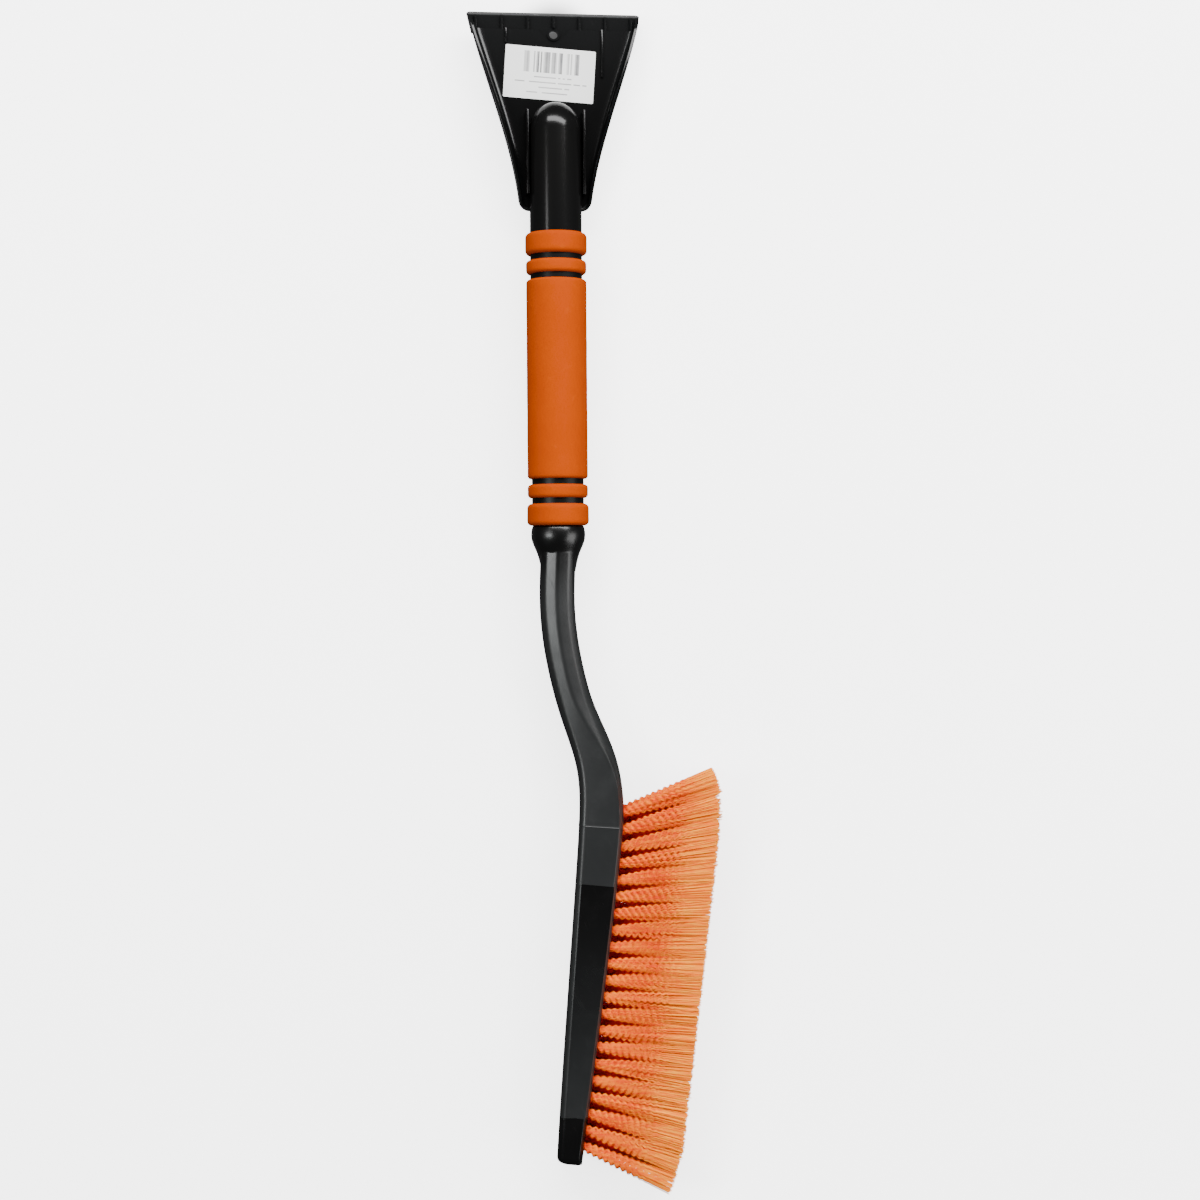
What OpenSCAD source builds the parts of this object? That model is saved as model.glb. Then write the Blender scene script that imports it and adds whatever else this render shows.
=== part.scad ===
// Snow brush with a windshield ice scraper, lying flat on its side.
// +Y runs along the handle towards the scraper blade, +X is the way the bristles
// point, and +Z is up. The origin is under the middle of the bounding box.

/* [Handle] */
// Outer diameter of the handle tube and of the scraper's shank
tube_d = 30; // [28:0.5:32]
// Wall of the handle tube
tube_wall = 2; // [1.5:0.25:3]
// Length of the foam grip, end to end
grip_len = 169; // [150:1:190]
// Outer diameter of the foam sleeve
foam_d = 35; // [34:0.5:38]
// How much further the two end rings of the grip stand out, on the radius
end_ring_swell = 0.4; // [0:0.1:1]
// Length of an end ring of the grip
end_ring_len = 12.6; // [8:0.2:16]
// Length of a narrow ring of the grip
band_len = 7.8; // [5:0.2:10]
// Gap between two foam rings, where the tube shows
groove_w = 3.3; // [2:0.1:5]

/* [Scraper] */
// Width of the blade
blade_w = 101.6; // [90:0.2:110]
// Length of the scraper's fan, from its heel to the blade
fan_len = 116; // [100:0.2:130]
// Thickness of the fan
fan_t = 2.4; // [2:0.1:3]
// Height of the fan's side walls at their highest
fan_wall_h = 9; // [5:0.5:12]
// Number of ice teeth behind the blade
teeth = 7; // [5:2:11]
// Distance between two ice teeth
tooth_pitch = 15.1; // [8:0.1:16]
// Diameter of the hanging hole
hang_hole_d = 5; // [4:0.5:6]
// Turn of the scraper about the handle
head_turn = 7; // [0:1:10]

/* [Brush] */
// Width of the neck, seen from the side
neck_w = 20.2; // [18:0.2:24]
// Thickness of the neck at its ridges
neck_t = 26; // [20:0.5:28]
// Widest part of the block, seen from the side
block_w = 25.6; // [22:0.2:30]
// Width of the block's tip, seen from the side
tip_w = 14.6; // [14:0.2:20]
// Thickness of the block, across the rows of tufts
block_t = 30; // [28:0.5:36]
// Number of tufts in an outer row
stations = 21; // [15:1:24]
// Distance between the rows of tufts
row_pitch = 8; // [7:0.25:9]
// Diameter of a tuft hole
hole_d = 5.2; // [4:0.1:6]
// Depth of a tuft hole
hole_depth = 12; // [8:0.5:13]
// Longest free length of a tuft
tuft_reach = 58; // [50:1:60]

/* [Hidden] */
$fn = 64;
e = 0.01;

// Handle
tube_r = tube_d / 2;
bore_r = tube_r - tube_wall;
grip_end = grip_len / 2;
spigot_r = bore_r - 0.05;
spigot_wall = 3.4;
spigot_bore_r = spigot_r - spigot_wall;
spigot_len = 40;
shank_y = grip_end - 6;
foam_bore_r = tube_r + 0.05;
sleeve_end = grip_end - end_ring_len - band_len - 2 * groove_w;
pin_r = 1.5;
pin_play = 0.05;
pin_y = sleeve_end - 8;
pin_len = tube_d - 0.6;
sleeve_round = 1.6;
band_round = 1.9;
end_ring_round = 2.2;

// Scraper, measured along the handle from the middle of the grip
heel_y = 98;
blade_y = heel_y + fan_len;
fan_taper = [25.2, 28.8, 23.9];
fan_steps = 11;
fan_top_z = -3;
heel_round = 6;
heel_angle = atan((fan_taper[0] + 2 * fan_taper[1] - 3 * fan_taper[2]) / fan_len);
wall_t = 2;
wall_low = 2;
wall_fillet = 5;
wall_shape = [0.75, 1.2];
least_wall = 0.3;
blade_len = 10.6;
step_y = blade_y - blade_len;
trough_z = fan_top_z - fan_t;
blade_t = 2.4;
blade_back_z = trough_z - blade_t;
edge_t = 0.6;
blade_round = 2.5;
bevel_room = 20;
tooth_t = 1.8;
tooth_drop = 0.2;
sunk = 0.5;
hole_y = blade_y - 13;
pocket_w = 19;
pocket_end_r = 4.4;
pocket_y = blade_y - 14.8;
pocket_rim = 2;
boss_r = 3.7;
boss_h = 0.8;
nose_y = 144;
nose_len = 16.5;
nose_steps = 10;
shank_rib_x = 16.4;
shank_rib_t = 1.6;
shank_rib_y = [106.5, 155.5];
shank_rib_top = 6;
label_rib_x = 28;
label_rib_t = 1.4;
label_rib_y = [[195.5, step_y + 1], [176, step_y + 1]];
label_rib_top = fan_top_z + 1.3;
label_size = [52.6, 30.4, 0.16];
label_at = [-2.7, 177.6];
label_turn = -3.8;

// Collar at the foot of the grip
collar_r = 15.7;
collar_mouth_r = 14.6;
collar_y = -91.4;
collar_foot_y = -110;
collar_foot_r = 9.8;
collar_land = 2;
spigot_floor = 2;

// Path of the neck and block: three Bezier curves in the plane of the bend
neck_y = -96;
bend = [
    [[0, neck_y], [0, -116], [-4.5, -136.5], [6.8, -180]],
    [[6.8, -180], [14.2, -208.3], [25.2, -217.6], [23.7, -252.7]],
    [[23.7, -252.7], [22.5, -281.1], [6.6, -420], [3.8, -451.2]]
];
bend_steps = [12, 8, 12];

// The arm's section has five corners above its middle: its flanks slope up to a ridge,
// and its faces meet them in a bevel
taper_start_y = -252;
widen_len = 70;
taper_power = 1.3;
swell_y = [-172, -257.9];
swell_power = 1.6;
ridge_shift_y = [-174, -238];
ridge_rise = 2.1;
neck_bevel = [3.6, 3.2];
block_bevel = [2.2, 2.4];
spine_bevel = 3;
least_flank = 1;
neck_flank_z = neck_t / 2 - ridge_rise;
tip_round = 3.6;
tip_round_steps = 4;
tip_thin = 0.6;
panel_y = [-291, -424];
panel_border = 3.6;
panel_edge = 0.8;
panel_depth = 0.4;
panel_steps = 8;

// Tufts
first_root_y = -249.6;
last_root_y = -441.4;
rest_r = foam_d / 2 + end_ring_swell;
row_root_z = [row_pitch, 0, -row_pitch];
tip_half_z = 5.7;
row_tip_z = [for (s = [1, 0, -1]) s * (rest_r - tip_half_z - 0.1)];
tuft_root_r = hole_d / 2 - 0.1;
tuft_mouth = 0.8;
tuft_mouth_t = 0.4;
mouth_room = 3;
root_gap = 0.2;
trim_at = [93.4, -247];
trim_slope = 0.1215;
end_trim = [1, 3];
lean_fan = [2, 8, 13];
trim_gap = 0.25;
tip_t = 1;
anchor = [5.8, 0.4, 1.8];
anchor_lift = 1.4;
anchor_play = 0.05;

function two(n) = str(n < 10 ? "0" : "", n);
tuft_names = [for (i = [1 : stations]) str("tufts_", two(i))];

// ---------------------------------------------------------------- helpers

function mix(a, b, t) = a + (b - a) * t;
function smooth(t) = let (c = min(1, max(0, t))) c * c * (3 - 2 * c);
function fade(y, from, to) = smooth((y - from) / (to - from));
function unit(v) = v / norm(v);
function side(v) = [-v[1], v[0]];

function bezier(p, t) =
    pow(1 - t, 3) * p[0] + 3 * t * pow(1 - t, 2) * p[1]
    + 3 * t * t * (1 - t) * p[2] + pow(t, 3) * p[3];
function bezier_way(p, t) = unit(
    pow(1 - t, 2) * (p[1] - p[0]) + 2 * t * (1 - t) * (p[2] - p[1])
    + t * t * (p[3] - p[2]));

// Turns a solid drawn along +Z so that it lies along the handle, +Y
module along_handle() rotate([-90, 0, 0]) children();

// Moves the part from the middle of the grip to the middle of its bounding box,
// with the end rings of the grip on the ground
module laid() translate([-mid[0], -mid[1], rest_r]) children();

// A solid through rings of points, which go round clockwise as seen from its far end
module loft(rings) {
    n = len(rings[0]);
    sides = [for (r = [0 : len(rings) - 2]) for (i = [0 : n - 1]) let (j = (i + 1) % n)
        [r * n + i, r * n + j, (r + 1) * n + j, (r + 1) * n + i]];
    near = [for (i = [n - 1 : -1 : 0]) i];
    far = [for (i = [0 : n - 1]) (len(rings) - 1) * n + i];
    polyhedron([for (ring = rings) for (p = ring) p], concat([near], sides, [far]), convexity = 8);
}

// Points an object drawn along +Z the way v points
module aim(v)
    rotate([0, acos(v[2] / norm(v)), atan2(v[1], v[0])]) children();

// ---------------------------------------------------------------- scraper

// Half the width of the fan, t from 0 at the blade to 1 at the heel
function fan_half(t) = blade_w / 2 - t * (fan_taper[0] + t * (fan_taper[1] - t * fan_taper[2]));

// Right side of the fan's outline, from the blade round the heel's corner
heel_x = fan_half(1) + heel_round * (tan(heel_angle) - 1 / cos(heel_angle));
heel_start_y = heel_y + heel_round * (1 - sin(heel_angle));
function fan_point(y) = [fan_half((blade_y - y) / fan_len), y];
function heel_point(a) = [heel_x + heel_round * cos(a), heel_y + heel_round * (1 - sin(a))];
fan_side = concat(
    [for (i = [0 : fan_steps]) fan_point(mix(blade_y, heel_start_y, i / fan_steps))],
    [for (i = [1 : 4]) heel_point(mix(heel_angle, 90, i / 4))]);

// The fan is a tray: its side walls are highest a little behind the blade
function wall_top(y) = let (t = (blade_y - y) / fan_len)
    fan_top_z + wall_low + (fan_wall_h - wall_low) * pow(sin(180 * pow(min(t, 1), wall_shape[0])), wall_shape[1]);
function tray_half(p) = let (
        top = wall_top(p[1]),
        r = min(wall_fillet, top - fan_top_z - least_wall),
        x = p[0] - wall_t - r,
        z = fan_top_z + r)
    concat(
        [for (i = [0 : 4]) let (a = mix(-90, 0, i / 4)) [x + r * cos(a), z + r * sin(a)]],
        [[p[0] - wall_t, top], [p[0], top]],
        [for (i = [4 : -1 : 0]) let (a = mix(-90, 0, i / 4))
            [x + (r + fan_t) * cos(a) * (r + wall_t) / (r + fan_t), z + (r + fan_t) * sin(a)]]);
function tray_ring(p) = let (half = tray_half(p), n = len(half)) concat(
    [for (q = half) [q[0], p[1], q[1]]],
    [for (i = [n - 1 : -1 : 0]) [-half[i][0], p[1], half[i][1]]]);

// A stretch of the fan's outline next to the blade, inset from its sides
module blade_outline(inset, from_y, to_y) {
    low = fan_point(from_y);
    high = [fan_point(min(to_y, blade_y))[0], to_y];
    polygon([
        [inset - low[0], low[1]], [low[0] - inset, low[1]],
        [high[0] - inset, high[1]], [inset - high[0], high[1]]
    ]);
}

// The trough reaches round the hanging hole in a pocket
module pocket(grow = 0) {
    hull() {
        translate([-pocket_w / 2 - grow, step_y])
            square([pocket_w + 2 * grow, 1]);
        translate([0, pocket_y])
            circle(pocket_end_r + grow, $fn = 24);
    }
}

module fan() {
    difference() {
        loft([for (p = fan_side) tray_ring(p)]);
        translate([0, 0, trough_z - e])
            linear_extrude(bevel_room)
                blade_outline(wall_t, step_y, blade_y + 1);
        translate([0, 0, trough_z - e])
            linear_extrude(bevel_room)
                pocket();
    }
}

module blade() {
    translate([0, 0, blade_back_z])
        linear_extrude(blade_t) {
            blade_outline(0, step_y - pocket_rim, blade_y);
            pocket(pocket_rim);
        }
    translate([0, 0, blade_back_z])
        linear_extrude(fan_top_z + 1 - blade_back_z)
            difference() {
                blade_outline(0, step_y - pocket_rim, blade_y);
                blade_outline(wall_t, step_y - pocket_rim - 1, blade_y + 1);
            }
}

// Everything at the blade ends in one bevel, which leaves a thin edge
module edge_bevel() {
    translate([-blade_w, blade_y, blade_back_z + edge_t])
        rotate([45, 0, 0])
            cube([2 * blade_w, bevel_room, bevel_room]);
}

// Rounds a corner of the blade, seen from above
module blade_corner(s) {
    translate([s * (blade_w / 2 - blade_round), blade_y - blade_round, -bevel_room])
        linear_extrude(2 * bevel_room)
            difference() {
                translate([s > 0 ? 0 : -blade_w, 0])
                    square([blade_w, blade_w]);
                circle(blade_round);
            }
}

module ice_tooth(x) {
    translate([x - tooth_t / 2, step_y - sunk, trough_z - sunk])
        cube([tooth_t, blade_len, fan_top_z - tooth_drop - trough_z + sunk]);
}

module upright_rib(x, span, t, top_z) {
    translate([x - t / 2, span[0], fan_top_z - sunk])
        cube([t, span[1] - span[0], top_z - fan_top_z + sunk]);
}

// The shank goes on from the handle tube and closes in a bullet-shaped nose
module shank() {
    nose = [for (i = [0 : nose_steps]) let (a = 90 * i / nose_steps)
        [tube_r * cos(a), nose_y + nose_len * sin(a)]];
    along_handle()
        rotate_extrude()
            polygon(concat(
                [[0, shank_y - spigot_len], [spigot_r, shank_y - spigot_len],
                 [spigot_r, shank_y], [tube_r, shank_y]],
                nose));
}

module scraper_head() {
    color([0.06, 0.065, 0.065])
        laid()
            difference() {
                rotate([0, head_turn, 0])
                    difference() {
                        union() {
                            fan();
                            blade();
                            for (i = [0 : teeth - 1])
                                ice_tooth((i - (teeth - 1) / 2) * tooth_pitch);
                            translate([0, hole_y, trough_z - e])
                                cylinder(h = boss_h + e, r = boss_r);
                            for (s = [-1, 1]) {
                                upright_rib(s * shank_rib_x, shank_rib_y, shank_rib_t, shank_rib_top);
                                upright_rib(s * label_rib_x, label_rib_y[s > 0 ? 1 : 0],
                                            label_rib_t, label_rib_top);
                            }
                            shank();
                        }
                        edge_bevel();
                        blade_corner(1);
                        blade_corner(-1);
                        along_handle()
                            translate([0, 0, shank_y - spigot_len - 1])
                                cylinder(h = nose_y - shank_y + spigot_len, r = spigot_bore_r);
                        translate([0, hole_y, blade_back_z - 1])
                            cylinder(h = blade_t + boss_h + 2, r = hang_hole_d / 2);
                        translate([0, hole_y, trough_z + boss_h])
                            cylinder(h = bevel_room, r = boss_r);
                    }
                cross_hole(pin_y);
            }
}

module barcode_label() {
    color([0.93, 0.93, 0.92])
        laid()
            rotate([0, head_turn, 0])
                translate([label_at[0], label_at[1], fan_top_z + label_size[2] / 2])
                    rotate(label_turn)
                        cube(label_size, center = true);
}

// ---------------------------------------------------------------- handle

module cross_hole(y) {
    translate([0, y, 0])
        cylinder(h = 2 * tube_d, r = pin_r + pin_play, center = true);
}

module cross_pin(y) {
    color([0.6, 0.6, 0.62])
        laid()
            translate([0, y, 0])
                cylinder(h = pin_len, r = pin_r, center = true);
}

module handle_tube() {
    color([0.02, 0.02, 0.022])
        laid()
            difference() {
                along_handle()
                    translate([0, 0, -grip_end])
                        difference() {
                            cylinder(h = grip_end + shank_y, r = tube_r);
                            translate([0, 0, -1])
                                cylinder(h = grip_end + shank_y + 2, r = bore_r);
                        }
                cross_hole(pin_y);
                cross_hole(-pin_y);
            }
}

// A foam ring with rounded outer edges, from y_low over the length len
module foam_ring(y_low, len, r, round) {
    color([0.83, 0.36, 0.01])
        laid()
            along_handle()
                translate([0, 0, y_low])
                    rotate_extrude()
                        union() {
                            translate([foam_bore_r, 0])
                                square([r - foam_bore_r - round, len]);
                            translate([foam_bore_r, round])
                                square([r - foam_bore_r, len - 2 * round]);
                            for (z = [round, len - round])
                                translate([r - round, z])
                                    circle(round);
                        }
}

// ---------------------------------------------------------------- brush arm

// Shape of the arm's section at a height y
function arm_w(y) = y > taper_start_y
    ? mix(neck_w, block_w, fade(y, taper_start_y + widen_len, taper_start_y))
    : mix(block_w, tip_w, pow((taper_start_y - y) / (taper_start_y - bend[2][3][1]), taper_power));
function arm_swell(y) =
    pow(min(1, max(0, (swell_y[0] - y) / (swell_y[0] - swell_y[1]))), swell_power);
function flank_z(y) = mix(neck_flank_z, block_t / 2, arm_swell(y));
function ridge_z(y) = mix(neck_t / 2, block_t / 2, arm_swell(y));
function bevel(y) = mix(neck_bevel, block_bevel, arm_swell(y));
function spine_u(y) = mix(neck_bevel[0], spine_bevel, arm_swell(y));
function ridge_u(y) =
    mix(0, arm_w(y) / 2 - block_bevel[1], fade(y, ridge_shift_y[0], ridge_shift_y[1]));

// Upper half of the section from the spine to the bristle side, cut in by tip
function half_section(y, tip) = let (
        w = arm_w(y) / 2,
        spine = -w + tip,
        drop = tip * tip_thin,
        flank = flank_z(y) - drop,
        face = flank - bevel(y)[1])
    [[spine, face], [spine + spine_u(y), flank],
     [max(ridge_u(y), spine + spine_u(y) + least_flank), ridge_z(y) - drop],
     [w - bevel(y)[0], flank], [w, face]];
function section(y, tip = 0) = let (top = half_section(y, tip)) concat(
    top, [for (i = [4 : -1 : 0]) [top[i][0], -top[i][1]]]);

// Stations along the bend: where the path is, and which way it runs
path = concat(
    [for (k = [0 : 2]) for (i = [0 : bend_steps[k] - 1])
        [bezier(bend[k], i / bend_steps[k]), bezier_way(bend[k], i / bend_steps[k])]],
    [[bend[2][3], bezier_way(bend[2], 1)]]);
last = len(path) - 1;

// The tip's rounding ends the path: the section shrinks over a quarter circle
function tip_station(i) = let (a = 90 * i / tip_round_steps, p = path[last])
    [p[0] + p[1] * (tip_round * (sin(a) - 1)), p[1], tip_round * (1 - cos(a))];
arm_stations = concat(
    [for (i = [0 : last - 1]) [path[i][0], path[i][1], 0]],
    [for (i = [0 : tip_round_steps]) tip_station(i)]);

module arm_loft() {
    loft([for (s = arm_stations) let (across = side(s[1]))
        [for (q = section(s[0][1], s[2]))
            [s[0][0] + across[0] * q[0], s[0][1] + across[1] * q[0], q[1]]]]);
}

module collar() {
    along_handle()
        rotate_extrude()
            polygon(concat(
                [[0, collar_foot_y], [collar_foot_r, collar_foot_y]],
                [for (i = [1 : 8]) let (t = i / 8)
                    [mix(collar_foot_r, collar_r, smooth(t)), mix(collar_foot_y, collar_y - collar_land, t)]],
                [for (i = [1 : 4]) let (t = i / 4)
                    [mix(collar_r, collar_mouth_r, t * t), mix(collar_y, -grip_end, t)]],
                [[0, -grip_end]]));
}

// Where the block's bristle side is at a height y, found along the third curve
block_start_y = bend[2][0][1] + 12;
block_path = [for (s = arm_stations) if (s[0][1] <= block_start_y && s[2] == 0) s];
function centre_x(y) = lookup(-y, [for (s = block_path) [-s[0][1], s[0][0]]]);
function centre_way(y) = let (h = 2) unit([centre_x(y - h) - centre_x(y + h), -2 * h]);
function on_arm(y, u) = let (a = side(centre_way(y))) [centre_x(y) + a[0] * u, y + a[1] * u];

module panel_outline() {
    ys = [for (i = [0 : panel_steps]) mix(panel_y[0], panel_y[1], i / panel_steps)];
    polygon(concat(
        [for (y = ys) on_arm(y, -arm_w(y) / 2 + panel_border)],
        [for (i = [panel_steps : -1 : 0]) on_arm(ys[i], arm_w(ys[i]) / 2 - panel_edge)]));
}

module brush_arm() {
    color([0.07, 0.075, 0.075])
        laid()
            difference() {
                union() {
                    arm_loft();
                    collar();
                    along_handle()
                        translate([0, 0, -grip_end - 1])
                            cylinder(h = spigot_len + 1, r = spigot_r);
                }
                along_handle()
                    translate([0, 0, -grip_end + spigot_floor])
                        cylinder(h = spigot_len, r = spigot_bore_r);
                cross_hole(-pin_y);
                for (s = [-1, 1])
                    translate([0, 0, s * block_t / 2])
                        linear_extrude(2 * panel_depth, center = true)
                            panel_outline();
                for (i = [0 : stations - 1])
                    for (r = [0 : 2])
                        if (has_tuft(i, r))
                            at_root(i, r)
                                translate([0, 0, -hole_depth])
                                    cylinder(h = hole_depth + mouth_room, r = hole_d / 2);
            }
}

// ---------------------------------------------------------------- tufts

// Tufts of the middle row stand half a pitch further on, so its last is left out
function has_tuft(i, r) = r != 1 || i < stations - 1;
function tuft_place(i, r) = (i + (r == 1 ? 0.5 : 0)) / (stations - 1);
function root_y(f) = mix(first_root_y, last_root_y, f);
function root_xy(f) = on_arm(root_y(f), arm_w(root_y(f)) / 2);

// Fan of the tufts: how far each leans, in degrees below +X
function lean(f) = let (t = 2 * f - 1) lean_fan[0] + lean_fan[1] * t + lean_fan[2] * t * t * t;

// The tufts towards the ends of the block are trimmed shorter
function reach(f) = tuft_reach - mix(end_trim[0], end_trim[1], f) * pow(2 * f - 1, 6);

// A tuft's middle ends at the straight trim line, or sooner if the line is out of reach
function tip_xy(f) = let (
        p = root_xy(f),
        d = [cos(lean(f)), -sin(lean(f))],
        n = [1, -trim_slope])
    p + d * min(reach(f), ((trim_at - p) * n) / (d * n));
function tuft_root(i, r) = let (p = root_xy(tuft_place(i, r))) [p[0], p[1], row_root_z[r]];
function tuft_tip(i, r) = let (p = tip_xy(tuft_place(i, r))) [p[0], p[1], row_tip_z[r]];

// Puts a solid drawn along +Z into the mouth of a tuft hole
module at_root(i, r) {
    translate(tuft_root(i, r))
        aim(tuft_tip(i, r) - tuft_root(i, r))
            children();
}

// The tips fill the space to half way to the next tuft of the row
module tuft(i, r) {
    f = tuft_place(i, r);
    pitch = 1 / (stations - 1);
    tip = tip_xy(f);
    high = (tip_xy(f - pitch) + tip) / 2;
    low = (tip_xy(f + pitch) + tip) / 2;
    along = unit(high - low);
    gap = along * trim_gap;
    back = -side(-along) * tip_t;
    difference() {
        union() {
            at_root(i, r)
                translate([0, 0, -hole_depth + root_gap])
                    cylinder(h = hole_depth + 1, r = tuft_root_r);
            hull() {
                at_root(i, r)
                    translate([0, 0, tuft_mouth])
                        cylinder(h = tuft_mouth_t, r = tuft_root_r + 0.05, $fn = 20);
                translate([0, 0, row_tip_z[r]])
                    linear_extrude(2 * tip_half_z, center = true)
                        polygon([high - gap, low + gap, low + gap + back, high - gap + back]);
            }
        }
        tuft_anchor(i, r, anchor_play);
    }
}

// The flat wire that holds the folded tuft down at the bottom of its hole
module tuft_anchor(i, r, play = 0) {
    at_root(i, r)
        translate([0, 0, -hole_depth + anchor_lift + anchor[2] / 2])
            cube([anchor[0] + 2 * play, anchor[1] + 2 * play, anchor[2] + 2 * play], center = true);
}

module tuft_anchors() {
    color([0.72, 0.7, 0.66])
        laid()
            for (i = [0 : stations - 1])
                for (r = [0 : 2])
                    if (has_tuft(i, r))
                        tuft_anchor(i, r);
}

module tuft_group(i) {
    color([0.95, 0.5, 0.2])
        laid()
            for (r = [0 : 2])
                if (has_tuft(i, r))
                    tuft(i, r);
}

// Middle of the bounding box, from the blade and the outermost tips
tips_right_x = max([for (i = [0 : 2 * stations - 2]) tip_xy(i / (2 * stations - 2))[0]]);
last_tip = (tip_xy(1) + tip_xy(1 + 1 / (stations - 1))) / 2;
blade_left_x = blade_back_z * sin(head_turn) - blade_w / 2 * cos(head_turn);
mid = [(tips_right_x + blade_left_x) / 2, (blade_y + last_tip[1]) / 2];

// ---------------------------------------------------------------- nodes

scraper_head();
barcode_label();
handle_tube();
cross_pin(pin_y);  // scraper_pin
cross_pin(-pin_y);  // arm_pin
foam_ring(-sleeve_end, 2 * sleeve_end, foam_d / 2, sleeve_round);  // foam_sleeve
foam_ring(sleeve_end + groove_w, band_len, foam_d / 2, band_round);  // foam_band_upper
foam_ring(-sleeve_end - groove_w - band_len, band_len, foam_d / 2, band_round);  // foam_band_lower
foam_ring(grip_end - end_ring_len, end_ring_len, foam_d / 2 + end_ring_swell, end_ring_round);  // foam_end_ring_upper
foam_ring(-grip_end, end_ring_len, foam_d / 2 + end_ring_swell, end_ring_round);  // foam_end_ring_lower
brush_arm();
tuft_anchors();
for (i = [0 : stations - 1])
    tuft_group(i);
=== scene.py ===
"""The looks of a snow brush with a windshield ice scraper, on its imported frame.

Blender works in metres. The design's own places are in millimetres from the middle
of the grip, +Y towards the blade and +X towards the tips, and at() puts them in the
frame."""

import math
import random

import bmesh
import bpy
from mathutils import Matrix, Vector, noise


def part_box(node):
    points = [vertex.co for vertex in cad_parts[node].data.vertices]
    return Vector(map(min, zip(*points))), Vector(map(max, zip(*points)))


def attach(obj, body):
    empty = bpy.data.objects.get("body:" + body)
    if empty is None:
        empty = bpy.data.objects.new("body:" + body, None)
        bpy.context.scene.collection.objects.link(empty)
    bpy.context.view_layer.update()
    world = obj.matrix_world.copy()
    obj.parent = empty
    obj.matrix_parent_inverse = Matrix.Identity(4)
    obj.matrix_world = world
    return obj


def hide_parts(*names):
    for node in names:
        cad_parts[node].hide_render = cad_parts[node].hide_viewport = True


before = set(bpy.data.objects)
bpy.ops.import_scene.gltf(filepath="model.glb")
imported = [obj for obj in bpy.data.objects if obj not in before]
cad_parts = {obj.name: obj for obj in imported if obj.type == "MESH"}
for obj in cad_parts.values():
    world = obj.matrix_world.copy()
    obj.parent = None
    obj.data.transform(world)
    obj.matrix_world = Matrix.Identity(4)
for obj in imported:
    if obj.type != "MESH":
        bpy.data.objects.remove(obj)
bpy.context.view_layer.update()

MM = 0.001
BODY = "root"


def middle(box):
    """The middle of a (lowest, highest) pair of corners."""
    return (box[0] + box[1]) / 2


grip_middle = middle(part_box("foam_sleeve"))


def at(x, y, z=0.0):
    """A place in the frame, from millimetres off the middle of the grip."""
    return grip_middle + Vector((x, y, z)) * MM


def mix(a, b, t):
    return a + (b - a) * t


def smooth(t):
    t = min(1.0, max(0.0, t))
    return t * t * (3 - 2 * t)


def fade(value, start, end):
    return smooth((value - start) / (end - start))


# ------------------------------------------------------------------ camera and light

CAMERA_HEIGHT = 1247
CAMERA_FOOT = (24.0, -113.9)
CAMERA_ROLL = math.radians(0.45)
FLOOR_HALF = 6


def make_camera():
    """Looks straight down on the part as it lies on its side."""
    data = bpy.data.cameras.new("camera")
    data.lens = 64.6
    data.sensor_width = 36
    data.shift_y = -0.02
    data.clip_start, data.clip_end = 0.05, 20
    camera = bpy.data.objects.new("camera", data)
    bpy.context.scene.collection.objects.link(camera)
    camera.location = at(*CAMERA_FOOT, CAMERA_HEIGHT)
    camera.rotation_euler = (0, 0, -CAMERA_ROLL)
    bpy.context.scene.camera = camera


def make_light(name, place, target, size, power, colour=(1, 1, 1)):
    data = bpy.data.lights.new(name, "AREA")
    data.shape = "RECTANGLE"
    data.size, data.size_y = size
    data.energy = power
    data.color = colour
    light = bpy.data.objects.new(name, data)
    bpy.context.scene.collection.objects.link(light)
    light.location = place
    light.rotation_euler = (place - target).to_track_quat("Z", "Y").to_euler()


def make_studio():
    world = bpy.data.worlds.new("studio")
    world.use_nodes = True
    world.node_tree.nodes["Background"].inputs["Color"].default_value = (1, 1, 1, 1)
    world.node_tree.nodes["Background"].inputs["Strength"].default_value = 0.1
    bpy.context.scene.world = world
    cool = (0.92, 1.0, 0.99)
    make_light("low_strip", at(-760, -215, 960), at(0, -215), (0.24, 0.24), 3.0, cool)
    make_light("high_strip", at(-760, 270, 960), at(0, 270), (0.12, 0.16), 0.9)
    make_light("left_fill", at(-1000, -125, 1250), at(0, -125), (0.45, 0.8), 12)
    make_light("overhead", at(200, 1050, 1130), at(30, 0), (2.2, 0.5), 82)
    make_light("fill", at(1500, -500, 850), at(0, -200), (1.2, 1.2), 31)


def make_floor():
    bm = bmesh.new()
    bmesh.ops.create_grid(bm, x_segments=1, y_segments=1, size=FLOOR_HALF)
    mesh = bpy.data.meshes.new("floor")
    bm.to_mesh(mesh)
    bm.free()
    floor = bpy.data.objects.new("floor", mesh)
    bpy.context.scene.collection.objects.link(floor)
    mesh.materials.append(studio_floor_finish().material)
    floor.visible_glossy = False
    floor.visible_diffuse = False


# ------------------------------------------------------------------ materials


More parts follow.
